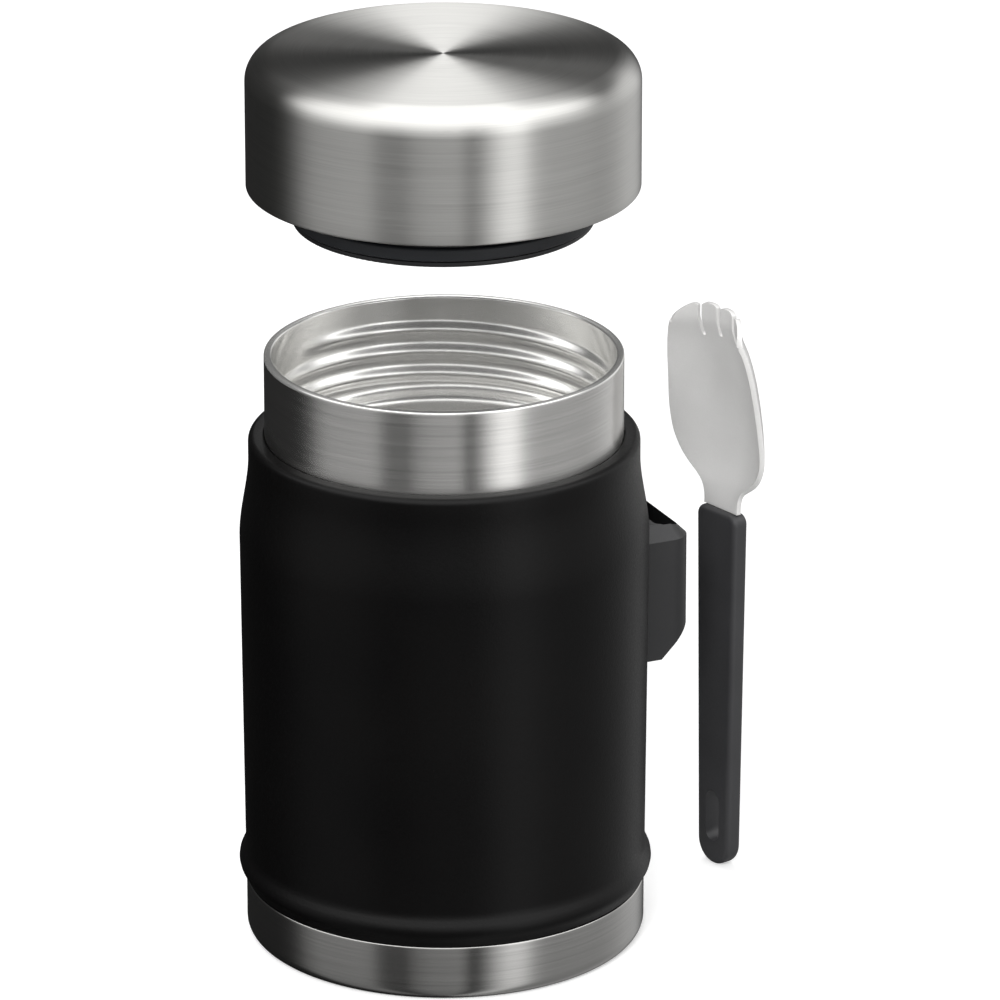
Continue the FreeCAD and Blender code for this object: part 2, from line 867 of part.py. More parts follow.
def make_spork_blade():
    """Formed steel head with four tines, and the flat tang that runs down into the grip."""
    reach = amount("head_tip")
    block = head_outline().extrude(Vector(0, reach, 0))
    block.translate(Vector(0, -reach / 2, 0))
    foot = amount("grip_height+head_gap")
    above_grip = Part.makeBox(reach, reach, reach, Vector(-reach / 2, -reach / 2, foot))
    head = bowl_sheet().common(block).common(above_grip)

    step, gap = amount("tine_step"), amount("tine_slot")
    middle_floor = amount("head_tip-tine_depth")
    side_floor = middle_floor - amount("tine_side_drop")
    for offset, floor in ((-step, side_floor), (0, middle_floor), (step, side_floor)):
        cutter = Part.makeBox(gap, reach, reach, Vector(offset - gap / 2, -reach / 2, floor))
        head = head.cut(cutter)

    half, thick = amount("tang_half_width"), amount("tang_half_thickness")
    low = amount("tang_foot")
    tang = Part.makeBox(2 * half, 2 * thick, foot - low, Vector(-half, -thick, low))
    blade = doc.addObject("Part::Feature", "spork_blade")
    blade.Label = "spork_blade"
    blade.Shape = head.fuse(tang).removeSplitter()
    spork_place(blade)
    pieces.append(blade)


def check_and_write():
    """Stop on any failed feature or bad shape, then write one file for each piece."""
    doc.recompute()
    for item in doc.Objects:
        if "Invalid" in item.State or "Error" in item.State:
            raise RuntimeError(f"{item.Name} failed: {item.State}")
    for piece in pieces:
        if piece.Shape.isNull() or not piece.Shape.isValid():
            raise RuntimeError(f"{piece.Label} has a bad shape")
    os.makedirs("parts", exist_ok=True)
    for piece in pieces:
        piece.Shape.exportStep(f"parts/{piece.Label}.step")
        print(piece.Label, len(piece.Shape.Solids), "solid,", round(piece.Shape.Volume, 1), "mm3")


fill_sheet()
make_base_cup()
make_body_shell()
make_neck_collar()
make_inner_vessel()
make_vacuum_bottom()
make_seal_button()
make_getter()
make_holder_bracket()
make_spork_holder()
make_lid_shell()
make_lid_liner()
make_lid_plug()
make_plug_cover()
make_lid_foam()
make_seal_ring()
make_spork_grip()
make_spork_blade()
check_and_write()
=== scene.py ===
"""Insulated food jar, dressed for the studio: brushed steel, black powder coat and moulded plastic."""

import math

import bmesh
import bpy
from mathutils import Matrix, Vector


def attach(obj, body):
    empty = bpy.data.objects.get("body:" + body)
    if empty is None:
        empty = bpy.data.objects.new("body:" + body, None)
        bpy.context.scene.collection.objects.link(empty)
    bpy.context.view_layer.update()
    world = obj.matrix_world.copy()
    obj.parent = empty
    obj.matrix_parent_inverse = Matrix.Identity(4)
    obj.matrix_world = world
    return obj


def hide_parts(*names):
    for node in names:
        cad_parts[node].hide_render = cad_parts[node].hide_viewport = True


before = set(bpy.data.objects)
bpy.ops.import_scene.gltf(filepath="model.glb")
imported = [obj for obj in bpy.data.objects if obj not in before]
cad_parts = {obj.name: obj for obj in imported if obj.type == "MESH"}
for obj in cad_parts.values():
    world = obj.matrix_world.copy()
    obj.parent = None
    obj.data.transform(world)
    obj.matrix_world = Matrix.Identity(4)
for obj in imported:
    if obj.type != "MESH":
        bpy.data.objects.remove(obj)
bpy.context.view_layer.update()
MM = 0.001

# Camera: it stands in front of the jar and looks down on it, with the spork holder behind the
# jar's right edge, as in the photograph.
VIEW_TURN = math.radians(24)
VIEW_PITCH = math.radians(20.44)
VIEW_DISTANCE = 1676 * MM
VIEW_HEIGHT = 730 * MM
FOCAL_PIXELS = 7781
IMAGE_PIXELS = 1000
JAR_PIXEL = 444.4
CLIP_NEAR, CLIP_FAR = 0.05, 50

camera = bpy.data.objects.new("camera", bpy.data.cameras.new("camera"))
bpy.context.scene.collection.objects.link(camera)
bpy.context.scene.camera = camera
camera.data.sensor_width = 36
camera.data.lens = FOCAL_PIXELS / IMAGE_PIXELS * camera.data.sensor_width
away = Vector((math.sin(VIEW_TURN), math.cos(VIEW_TURN), 0))
right = Vector((math.cos(VIEW_TURN), -math.sin(VIEW_TURN), 0))
camera.location = Vector((0, 0, VIEW_HEIGHT)) - away * VIEW_DISTANCE
side_aim = (IMAGE_PIXELS / 2 - JAR_PIXEL) / FOCAL_PIXELS
look = away * math.cos(VIEW_PITCH) - Vector((0, 0, math.sin(VIEW_PITCH))) + right * side_aim
camera.rotation_euler = look.to_track_quat("-Z", "Y").to_euler()
camera.data.clip_start = CLIP_NEAR
camera.data.clip_end = CLIP_FAR

bpy.context.scene.view_settings.view_transform = "Standard"


# Studio: a pale floor, soft lamps and, for the gloss alone, the panels that a bottle is shot
# between: a tall bright card to the front right, grey cards to both sides with dark gaps between
# them, darkness behind, a fan of light that widens from there to overhead, and a soft ceiling.
class Value:
    """A shader socket that takes the ordinary operators and adds the Math nodes for them."""

    def __init__(self, paint, socket):
        self.paint = paint
        self.socket = socket

    def math(self, operation, *others):
        inputs = [self, *others]
        return self.paint.node("ShaderNodeMath", {"operation": operation}, dict(enumerate(inputs)))

    def __add__(self, other):
        return self.math("ADD", other)

    def __sub__(self, other):
        return self.math("SUBTRACT", other)

    def __mul__(self, other):
        return self.math("MULTIPLY", other)

    def __truediv__(self, other):
        return self.math("DIVIDE", other)

    def __rsub__(self, other):
        return self.paint.constant(other).math("SUBTRACT", self)

    def __rtruediv__(self, other):
        return self.paint.constant(other).math("DIVIDE", self)

    __radd__ = __add__
    __rmul__ = __mul__


class Paint:
    """A node tree that is filled one node at a time."""

    def __init__(self, tree):
        self.tree = tree
        tree.nodes.clear()

    def node(self, kind, settings=None, sockets=None, out=0):
        made = self.tree.nodes.new(kind)
        for name, setting in (settings or {}).items():
            if name == "stops":
                self.fill_ramp(made.color_ramp, setting)
            else:
                setattr(made, name, setting)
        for name, given in (sockets or {}).items():
            if isinstance(given, Value):
                self.tree.links.new(given.socket, made.inputs[name])
            else:
                made.inputs[name].default_value = given
        return Value(self, made.outputs[out]) if made.outputs else made

    def fill_ramp(self, ramp, stops):
        for place, _ in stops[1:-1]:
            ramp.elements.new(place)
        for element, (place, colour) in zip(ramp.elements, stops):
            element.position = place
            element.color = (*colour, 1)

    def constant(self, number):
        made = self.tree.nodes.new("ShaderNodeValue")
        made.outputs[0].default_value = number
        return Value(self, made.outputs[0])

    def place(self):
        """Object coordinates as a vector."""
        return self.node("ShaderNodeTexCoord", out=3)

    def parts(self, vector):
        """The three parts of a vector."""
        split = self.node("ShaderNodeSeparateXYZ", sockets={0: vector}).socket.node
        return [Value(self, socket) for socket in split.outputs]

    def join(self, x, y, z):
        return self.node("ShaderNodeCombineXYZ", sockets={0: x, 1: y, 2: z})

    def noise(self, vector, scale, detail=2.0, roughness=0.5):
        sockets = {"Vector": vector, "Scale": scale, "Detail": detail, "Roughness": roughness}
        return self.node("ShaderNodeTexNoise", sockets=sockets)

    def range(self, value, low, high, to_low, to_high):
        sockets = {0: value, 1: low, 2: high, 3: to_low, 4: to_high}
        return self.node("ShaderNodeMapRange", {"clamp": True}, sockets)

    def mix_colour(self, factor, first, second):
        sockets = {"Factor": factor, 6: first, 7: second}
        return self.node("ShaderNodeMix", {"data_type": "RGBA"}, sockets, out=2)

    def dents(self, height, strength, depth):
        """A bump of a given depth, in metres."""
        sockets = {"Strength": strength, "Distance": depth, "Height": height}
        return self.node("ShaderNodeBump", sockets=sockets)

    def surface(self, sockets):
        shader = self.node("ShaderNodeBsdfPrincipled", sockets=sockets)
        self.node("ShaderNodeOutputMaterial", sockets={"Surface": shader})


def new_paint(name):
    """A new material and the node tree to fill."""
    material = bpy.data.materials.new(name)
    material.use_nodes = True
    return material, Paint(material.node_tree)


def grey_stops(levels, places):
    """Ramp stops of one grey each."""
    return [(place, (level, level, level)) for place, (_, level) in zip(places, levels)]


# Each panel is its middle, in degrees round the jar from the camera to the right, and its level.
STUDIO_LEVEL = 0.62
PANELS = [
    (-180, 0.03), (-112, 0.04), (-102, 0.06), (-95, 0.14), (-86, 0.36), (-78, 0.48), (-50, 0.50),
    (-44, 0.44), (-38, 0.20), (-33, 0.13), (-24, 0.13), (-16, 0.34), (-8, 0.44), (7, 0.49),
    (11, 0.38), (15, 0.15), (19, 0.18), (24, 0.50), (30, 1.10), (36, 1.62), (42, 1.75),
    (47, 1.55), (52, 1.00), (58, 0.68), (66, 0.60), (100, 0.62), (113, 0.72), (130, 0.95),
    (146, 0.95), (158, 0.50), (168, 0.10), (180, 0.03),
]
# The panels dim towards their feet. Their upper edge is lower and softer towards the camera.
PANEL_FOOT, PANEL_HEAD, PANEL_FALL = -0.5, 0.05, 0.40
PANEL_EDGE, EDGE_DIP, EDGE_SOFT, EDGE_SOFTER = 0.34, 0.26, 0.16, 0.45
# The fan's level falls away from its middle, and a ceiling card covers the camera's side.
FAN_REACH, FAN_TIP = 1.6, 1.02
FAN = [
    (0.0, 2.0), (0.30, 1.9), (0.40, 0.84), (0.65, 0.46), (0.87, 0.27), (1.14, 0.14), (1.6, 0.09),
]
FAN_END, CEILING_START, CEILING_LEVEL = -0.45, -0.15, 2.1

world = bpy.data.worlds.new("studio")
bpy.context.scene.world = world
world.use_nodes = True
air = Paint(world.node_tree)
way_x, way_y, way_z = air.parts(air.node("ShaderNodeTexCoord"))
ahead = way_x * -away.x + way_y * -away.y
aside = way_x * right.x + way_y * right.y
azimuth = aside.math("ARCTAN2", ahead) / (2 * math.pi) + 0.5
stops = grey_stops(PANELS, [(degrees + 180) / 360 for degrees, _ in PANELS])
panels = air.node("ShaderNodeValToRGB", {"stops": stops}, {0: azimuth})
spread = aside.math("ABSOLUTE") / (ahead + FAN_TIP) / FAN_REACH
stops = grey_stops(FAN, [reach / FAN_REACH for reach, _ in FAN])
fan = air.node("ShaderNodeValToRGB", {"stops": stops}, {0: spread})
ceiling = (CEILING_LEVEL, CEILING_LEVEL, CEILING_LEVEL, 1)
overhead = air.mix_colour(air.range(ahead, FAN_END, CEILING_START, 0.0, 1.0), fan, ceiling)
nearer = ahead.math("MAXIMUM", 0.0)
past_edge = (way_z - PANEL_EDGE + nearer * EDGE_DIP) / (nearer * EDGE_SOFTER + EDGE_SOFT)
above = air.range(past_edge, 0.0, 1.0, 0.0, 1.0)
low = air.range(way_z, PANEL_FOOT, PANEL_HEAD, PANEL_FALL, 1.0)
dimmed = air.mix_colour(low, (0.0, 0.0, 0.0, 1), panels)
seen_in_gloss = air.mix_colour(above, dimmed, overhead)
glossy = air.node("ShaderNodeLightPath", out=3)
colour = air.mix_colour(glossy, (STUDIO_LEVEL, STUDIO_LEVEL, STUDIO_LEVEL, 1), seen_in_gloss)
camera_ray = air.node("ShaderNodeLightPath", out=0)
colour = air.mix_colour(camera_ray, colour, (1, 1, 1, 1))
air.node("ShaderNodeOutputWorld", sockets={0: air.node("ShaderNodeBackground", sockets={0: colour})})

LAMP_AIM = Vector((0, 0, 90 * MM))


def soft_lamp(name, side, front, height, size, watts):
    """A square soft box aimed at the jar, placed to the right of it, in front of it and up."""
    lamp = bpy.data.objects.new(name, bpy.data.lights.new(name, "AREA"))
    bpy.context.scene.collection.objects.link(lamp)
    lamp.data.size = size
    lamp.data.energy = watts
    lamp.visible_glossy = False
    lamp.location = right * side - away * front + Vector((0, 0, height))
    lamp.rotation_euler = (LAMP_AIM - lamp.location).to_track_quat("-Z", "Y").to_euler()


soft_lamp("key_lamp", side=-0.15, front=0.95, height=0.70, size=0.40, watts=9)
soft_lamp("top_lamp", side=-0.1, front=-0.5, height=1.3, size=0.6, watts=5)

FLOOR_HALF, FLOOR_TONE, FLOOR_GLOW = 8, 0.80, 0.42
floor_mesh = bpy.data.meshes.new("floor")
build = bmesh.new()
bmesh.ops.create_grid(build, x_segments=1, y_segments=1, size=FLOOR_HALF)
build.to_mesh(floor_mesh)
build.free()
floor = bpy.data.objects.new("floor", floor_mesh)
bpy.context.scene.collection.objects.link(floor)
floor_paint, paint = new_paint("pale_floor")
matt = paint.node("ShaderNodeBsdfDiffuse", sockets={0: (FLOOR_TONE, FLOOR_TONE, FLOOR_TONE, 1)})
glow = paint.node("ShaderNodeEmission", sockets={0: (1, 1, 1, 1), 1: FLOOR_GLOW})
white = paint.node("ShaderNodeAddShader", sockets={0: matt, 1: glow})
in_camera = paint.node("ShaderNodeLightPath", out=0)
in_gloss = paint.node("ShaderNodeLightPath", out=3)
clear = paint.node("ShaderNodeBsdfTransparent")
shown = paint.node("ShaderNodeMixShader", sockets={0: in_camera, 1: matt, 2: white})
shown = paint.node("ShaderNodeMixShader", sockets={0: in_gloss, 1: shown, 2: clear})
paint.node("ShaderNodeOutputMaterial", sockets={0: shown})
floor.data.materials.append(floor_paint)


# Base cup: a bare steel cup, brushed round the jar's axis, that is pressed over the shell's lower
# end. It closes the bottom, has a stamped ring there and shows as the bright band under the bead.
BASE_RADIUS, BASE_CORNER, BASE_TOP, BASE_LIP, SHEET = 46.4, 3.0, 13.5, 0.3, 0.6
GROOVE_IN, GROOVE_OUT, GROOVE_SLOPE, GROOVE_DEPTH = 26.0, 36.2, 1.6, 1.2
GROOVE_FLAT = 3
STEEL_TURNS = 256
SHARP_CORNER = math.radians(32)
# Brushing: how often the streaks change round the jar, and how closely they lie, per metre.
LINE_CHANGE, LINE_RATE, BAND_CHANGE, BAND_RATE = 1.4, 3400.0, 0.7, 1300.0
LINE_SHARE, BAND_SHARE, DARKER, LIGHTER = 0.75, 0.25, 0.10, 0.08
SCRATCH_STRENGTH, SCRATCH_DEPTH, AXIS_REACH = 0.04, 0.00003, 0.0002


def brushed_steel(name, tone, roughness, grain=1.0, metal=1.0):
    """Steel with its grain round the jar's axis: bands on a wall, rings on a flat top."""
    material, paint = new_paint(name)
    x, y, z = paint.parts(paint.place())
    reach = (x * x + y * y).math("SQRT").math("MAXIMUM", AXIS_REACH)
    lines = paint.join(x / reach * LINE_CHANGE, y / reach * LINE_CHANGE, (reach - z) * LINE_RATE)
    fine = paint.noise(lines, 1.0, 3.0, 0.6)
    bands = paint.join(x / reach * BAND_CHANGE, y / reach * BAND_CHANGE, (reach - z) * BAND_RATE)
    broad = paint.noise(bands, 1.0, 2.0)
    shade = paint.range(fine * LINE_SHARE + broad * BAND_SHARE, 0.28, 0.72, 0.0, 1.0)
    darker = tuple(part * (1 - DARKER * grain) for part in tone)
    lighter = tuple(min(part * (1 + LIGHTER * grain), 1.0) for part in tone)
    paint.surface(
        {
            "Base Color": paint.mix_colour(shade, (*darker, 1), (*lighter, 1)),
            "Metallic": metal,
            "Roughness": paint.range(broad, 0.3, 0.7, roughness - 0.01, roughness + 0.02),
            "Anisotropic": 1.0,
            "Anisotropic Rotation": 0.25,
            "Normal": paint.dents(fine, SCRATCH_STRENGTH * grain, SCRATCH_DEPTH),
        }
    )
    return material


def arc(centre, radius, start, end, steps=8):
    """Points of a round stretch, in degrees, as radius from the axis and height."""
    points = []
    for step in range(steps + 1):
        angle = math.radians(start + (end - start) * step / steps)
        points.append((centre[0] + radius * math.cos(angle), centre[1] + radius * math.sin(angle)))
    return points


def spaced(low, high, count):
    """Evenly spaced numbers from low to high, both included."""
    return [low + (high - low) * place / (count - 1) for place in range(count)]


def finish_piece(name, build, material, body, replaced):
    """Turn a bmesh into a smooth piece that rides on its body in place of a node."""
    mesh = bpy.data.meshes.new(name)
    build.to_mesh(mesh)
    build.free()
    mesh.shade_smooth()
    mesh.set_sharp_from_angle(angle=SHARP_CORNER)
    piece = bpy.data.objects.new(name, mesh)
    bpy.context.scene.collection.objects.link(piece)
    piece.data.materials.append(material)
    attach(piece, body)
    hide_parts(replaced)
    return piece


def spun(name, outline, material, body, replaced, closed=True):
    """A piece turned round the jar's axis from an outline in millimetres."""
    build = bmesh.new()
    ring = [build.verts.new((across * MM, 0, up * MM)) for across, up in outline]
    edges = [build.edges.new(pair) for pair in zip(ring, ring[1:])]
    if closed:
        edges.append(build.edges.new((ring[-1], ring[0])))
    bmesh.ops.spin(
        build, geom=ring + edges, cent=(0, 0, 0), axis=(0, 0, 1), angle=2 * math.pi,
        steps=STEEL_TURNS, use_merge=True,
    )
    bmesh.ops.remove_doubles(build, verts=build.verts[:], dist=1e-6)
    bmesh.ops.recalc_face_normals(build, faces=build.faces[:])
    return finish_piece(name, build, material, body, replaced)


steel_band = brushed_steel("steel_band", (0.56, 0.555, 0.54), 0.16)
base_corner = (BASE_RADIUS - BASE_CORNER, BASE_CORNER)
base_outline = [
    (0, 0), *[(across, 0) for across in spaced(GROOVE_IN * 0.3, GROOVE_IN, 5)],
    (GROOVE_IN + GROOVE_SLOPE, GROOVE_DEPTH), (GROOVE_OUT - GROOVE_SLOPE, GROOVE_DEPTH),
    (GROOVE_OUT, 0), (GROOVE_OUT + GROOVE_FLAT, 0),
    *arc(base_corner, BASE_CORNER, -90, 0),
    (BASE_RADIUS, BASE_TOP - 2 * BASE_LIP),
    *arc((BASE_RADIUS - BASE_LIP, BASE_TOP - BASE_LIP), BASE_LIP, 0, 90, 3),
    (BASE_RADIUS - SHEET, BASE_TOP),
    *arc(base_corner, BASE_CORNER - SHEET, 0, -90),
    (GROOVE_OUT + SHEET, SHEET), (GROOVE_OUT - GROOVE_SLOPE + SHEET, GROOVE_DEPTH + SHEET),
    (GROOVE_IN + GROOVE_SLOPE - SHEET, GROOVE_DEPTH + SHEET), (GROOVE_IN - SHEET, SHEET), (0, SHEET),
]
spun("base_cup_band", base_outline, steel_band, "jar", "base_cup", closed=False)


# Body shell: the outer steel wall, drawn in one piece with a bead near its foot and a shoulder
# under the ledge, and powder coated black all over.
BODY_LOW, BODY_HIGH, LEDGE, LEDGE_ROUND = 46.5, 47.2, 45.0, 1.5
BEAD_MIDDLE, BEAD_HALF, BEAD_RISE, BEAD_PEAK = 17.6, 3.7, 1.55, 1.6
FOOT, SHOULDER_LOW, SHOULDER_HIGH, LEDGE_TOP, COAT = 14.0, 99.0, 118.0, 122.0, 0.8
SHOULDER_LEAD = 1.5
SKIRT, SKIRT_INNER, SKIRT_LOW, SKIRT_TOP = 45.8, 45.2, 8.0, 13.9
COLLAR_HOLE, HOLE_ROUND, HOLE_LOW, LEDGE_FLAT = 41.3, 0.4, 118.5, 42.0


def eased(share):
    """Smooth step from 0 to 1."""
    share = min(max(share, 0.0), 1.0)
    return share * share * (3 - 2 * share)


def wall_radius(height):
    """Radius of the coated wall at a height: straight taper, bead and shoulder."""
    taper = BODY_LOW + (BODY_HIGH - BODY_LOW) * (height - FOOT) / (SHOULDER_LOW - FOOT)
    taper = min(taper, BODY_HIGH)
    climbed = (height - SHOULDER_LOW + SHOULDER_LEAD) / (SHOULDER_HIGH - SHOULDER_LOW)
    taper -= (BODY_HIGH - LEDGE) * eased(climbed)
    from_bead = min(abs(height - BEAD_MIDDLE) / BEAD_HALF, 1.0)
    return taper + BEAD_RISE * math.cos(from_bead * math.pi / 2) ** BEAD_PEAK


PEBBLE_RATE, GRAIN_RATE, CLOUD_RATE = 950.0, 2300.0, 28.0
COAT_DARK, COAT_LIGHT = (0.0012, 0.0011, 0.0012, 1), (0.0020, 0.0018, 0.0018, 1)
PEBBLE_STRENGTH, PEBBLE_DEPTH = 0.35, 0.00012


def powder_coat(name):
    """Black powder coat: fine pebbled grain with a soft sheen."""
    material, paint = new_paint(name)
    place = paint.place()
    grain = paint.noise(place, GRAIN_RATE, 2.0, 0.55)
    pebbles = paint.noise(place, PEBBLE_RATE, 1.0, 0.5)
    cloud = paint.range(paint.noise(place, CLOUD_RATE, 2.0), 0.35, 0.65, 0.0, 1.0)
    paint.surface(
        {
            "Base Color": paint.mix_colour(cloud, COAT_DARK, COAT_LIGHT),
            "Roughness": paint.range(grain, 0.3, 0.7, 0.33, 0.43),
            "Specular IOR Level": 0.20,
            "Normal": paint.dents(grain * 0.6 + pebbles * 0.4, PEBBLE_STRENGTH, PEBBLE_DEPTH),
        }
    )
    return material


outside = [(wall_radius(height), height) for height in spaced(FOOT, SHOULDER_HIGH, 120)]
inside = [(across - COAT, up) for across, up in reversed(outside)]
ledge_corner = (LEDGE - LEDGE_ROUND, LEDGE_TOP - LEDGE_ROUND)
shell_outline = [
    (SKIRT_INNER, SKIRT_LOW), (SKIRT, SKIRT_LOW), (SKIRT, SKIRT_TOP), *outside,
    *arc(ledge_corner, LEDGE_ROUND, 0, 90),
    (LEDGE_FLAT, LEDGE_TOP),
    *arc((COLLAR_HOLE + HOLE_ROUND, LEDGE_TOP - HOLE_ROUND), HOLE_ROUND, 90, 180, 4),
    (COLLAR_HOLE, HOLE_LOW), (COLLAR_HOLE + COAT, HOLE_LOW), (COLLAR_HOLE + COAT, LEDGE_TOP - COAT),
    *arc(ledge_corner, LEDGE_ROUND - COAT, 90, 0, 4),
    *inside[:-1], (SKIRT_INNER, FOOT + SHEET),
]
spun("body_shell_coated", shell_outline, powder_coat("black_powder_coat"), "jar", "body_shell")


# Neck collar: a bare brushed steel ring that stands up out of the ledge. It is welded to the
# vessel's rolled lip at the top.
COLLAR, COLLAR_FOOT, COLLAR_TOP, RIM = 41.2, 117.5, 140.78, 141.4
# The collar's steel gets a brighter tone than the lid and the base band: painted light that stands in
# for the brighter reflections the collar shows.
collar_steel_painted_bright = brushed_steel("collar_steel_painted_bright", (0.80, 0.79, 0.77), 0.21)
collar_outline = [
    (COLLAR - SHEET, COLLAR_FOOT), (COLLAR, COLLAR_FOOT),
    (COLLAR, COLLAR_TOP), (COLLAR - SHEET, COLLAR_TOP),
]
spun("neck_collar_ring", collar_outline, collar_steel_painted_bright, "jar", "neck_collar")


# Inner vessel: one deep-drawn steel cup, lightened inside by painted light. The thread is rolled into
# its neck, the seal wipes its bore, and its lip is rolled over the collar.
NECK, BORE, SEAT, SEAT_ROUND, VESSEL_FLOOR, VESSEL_CORNER = 39.4, 35.5, 118.25, 1.95, 7.1, 8.0
PITCH, THREAD_FOOT, THREAD_TURNS, THREAD_RISE, THREAD_HALF = 5.4, 121.6, 2.35, 1.2, 2.4
THREAD_FADE = 0.07
LIP_OUT, LIP_IN, SEAT_RUN, FLOOR_FLAT = 0.4, 0.5, 4, 14
ON_NECK = 0.02
seat_low, seat_high = SEAT - SEAT_ROUND, SEAT + SEAT_ROUND
floor_corner = VESSEL_FLOOR + VESSEL_CORNER
vessel_outline = [
    (0, VESSEL_FLOOR - SHEET),
    *arc((BORE - VESSEL_CORNER + SHEET, floor_corner - SHEET), VESSEL_CORNER, -90, 0),
    (BORE + SHEET, seat_low - SHEET),
    *arc((BORE + SHEET + SEAT_ROUND, seat_low - SHEET), SEAT_ROUND, 180, 90, 6),
    *arc((BORE + SHEET + SEAT_ROUND, seat_high - SHEET), SEAT_ROUND, -90, 0, 6),
    (NECK + SHEET, RIM - SHEET), (COLLAR, RIM - SHEET),
    *arc((COLLAR - LIP_OUT, RIM - LIP_OUT), LIP_OUT, 0, 90, 5),
    *arc((NECK + LIP_IN, RIM - LIP_IN), LIP_IN, 90, 180, 5),
    *[(NECK, up) for up in spaced(RIM - LIP_IN, seat_high, 90)[1:-1]],
    *arc((BORE + SEAT_ROUND, seat_high), SEAT_ROUND, 0, -90),
    *arc((BORE + SEAT_ROUND, seat_low), SEAT_ROUND, 90, 180),
    *[(BORE, up) for up in spaced(seat_low - SEAT_RUN, floor_corner, 12)],
    *arc((BORE - VESSEL_CORNER, floor_corner), VESSEL_CORNER, 0, -90)[1:],
    (FLOOR_FLAT, VESSEL_FLOOR), (0, VESSEL_FLOOR),
]
# The inside steel gets a far brighter tone than the rest of the steel and a share of matt white:
# painted light that lightens the inside, which the lid above shades.
inside_steel_painted_bright = brushed_steel("inside_steel_painted_bright", (0.90, 0.895, 0.875), 0.18, 0.12, 0.8)
vessel = spun(
    "inner_vessel_threaded", vessel_outline, inside_steel_painted_bright, "jar", "inner_vessel", closed=False
)


def thread_depth(angle, height):
    """How far the rolled thread stands in from the neck at an angle and a height."""
    turned = (angle / (2 * math.pi)) % 1.0
    deepest = 0.0
    for whole in range(math.ceil(THREAD_TURNS) + 1):
        wound = turned + whole
        if wound > THREAD_TURNS:
            continue
        middle = THREAD_FOOT + PITCH * wound
        across = abs(height - middle) / THREAD_HALF
        if across >= 1:
            continue
        ends = eased(wound / THREAD_FADE) * eased((THREAD_TURNS - wound) / THREAD_FADE)
        wave = math.cos(across * math.pi / 2) ** 2
        deepest = max(deepest, THREAD_RISE * ends * wave)
    return deepest


for vertex in vessel.data.vertices:
    across = math.hypot(vertex.co.x, vertex.co.y) / MM
    if abs(across - NECK) < ON_NECK and vertex.co.z > seat_high * MM:
        angle = math.atan2(vertex.co.y, vertex.co.x)
        pressed = (across - thread_depth(angle, vertex.co.z / MM)) / across
        vertex.co.x *= pressed
        vertex.co.y *= pressed


# Lid shell: a brushed steel cap with a rounded upper corner, turned so that its top shows fine
# rings. Its hem is folded in and grips the plastic liner.
LIFT = 11 * PITCH
LID, LID_FOOT, LID_TOP, LID_CORNER = 44.85, 122.4 + LIFT, 153.3 + LIFT, 6.0
HEM, HEM_ROUND, HEM_HIGH = 1.3, 0.5, 1.2
SIDE_LOW, SIDE_HIGH, TOP_FLAT, TOP_RINGS = LID_FOOT + 3, LID_TOP - LID_CORNER - 2, 37, 19
steel_lid = brushed_steel("steel_lid", (0.62, 0.615, 0.595), 0.29)
lid_corner = (LID - LID_CORNER, LID_TOP - LID_CORNER)
lid_outline = [
    (LID - HEM, LID_FOOT + HEM_HIGH), (LID - HEM, LID_FOOT + HEM_ROUND),
    *arc((LID - HEM + HEM_ROUND, LID_FOOT + HEM_ROUND), HEM_ROUND, 180, 270, 4),
    *arc((LID - HEM_ROUND, LID_FOOT + HEM_ROUND), HEM_ROUND, 270, 360, 5),
    (LID, SIDE_LOW), (LID, SIDE_HIGH),
    *arc(lid_corner, LID_CORNER, 0, 90, 16),
    *[(across, LID_TOP) for across in spaced(TOP_FLAT, 1, TOP_RINGS)], (0, LID_TOP),
    (0, LID_TOP - SHEET), (LID - LID_CORNER, LID_TOP - SHEET),
    *arc(lid_corner, LID_CORNER - SHEET, 90, 0)[1:],
    (LID - SHEET, LID_FOOT + HEM_HIGH), (LID - HEM, LID_FOOT + HEM_HIGH),
]
spun("lid_shell_cap", lid_outline, steel_lid, "lid", "lid_shell", closed=False)


# Seal ring: a soft black silicone ring, moulded in one piece. It is stretched into the groove at
# the stopper's lower end.
RING, RING_INNER, RING_LOW, RING_HIGH, RING_ROUND = 35.2, 33.1, 115.4 + LIFT, 118.6 + LIFT, 0.8


def moulded(name, tone, roughness, grain_scale, strength, specular=0.5):
    """Moulded plastic or rubber with a fine spark-eroded grain."""
    material, paint = new_paint(name)
    place = paint.place()
    grain = paint.noise(place, grain_scale, 3.0, 0.6)
    cloud = paint.range(paint.noise(place, 60.0, 2.0), 0.35, 0.65, 0.0, 1.0)
    light = tuple(part * 1.15 for part in tone)
    paint.surface(
        {
            "Base Color": paint.mix_colour(cloud, (*tone, 1), (*light, 1)),
            "Roughness": paint.range(grain, 0.3, 0.7, roughness - 0.05, roughness + 0.05),
            "Specular IOR Level": specular,
            "Normal": paint.dents(grain, strength, 0.00006),
        }
    )
    return material


silicone = moulded("black_silicone", (0.012, 0.013, 0.015), 0.52, 1800.0, 0.15, 0.4)
ring_outline = [
    (RING_INNER, RING_LOW), *arc((RING - RING_ROUND, RING_LOW + RING_ROUND), RING_ROUND, -90, 0, 6),
    *arc((RING - RING_ROUND, RING_HIGH - RING_ROUND), RING_ROUND, 0, 90, 6), (RING_INNER, RING_HIGH),
]
spun("seal_ring_silicone", ring_outline, silicone, "seal", "seal_ring")


# Stopper and liner: black moulded plastic shells, welded together round cream foam. The liner is
# pressed up into the steel cap.
def finish_node(node, material):
    """Give a carried-over node its material."""
    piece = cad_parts[node]
    piece.data.materials.clear()
    piece.data.materials.append(material)


black_plastic = moulded("black_plastic", (0.010, 0.010, 0.011), 0.42, 1500.0, 0.15)
for node in ("lid_liner", "lid_plug", "plug_cover"):
    finish_node(node, black_plastic)
finish_node("lid_foam", moulded("cream_foam", (0.62, 0.58, 0.50), 0.85, 900.0, 0.5))


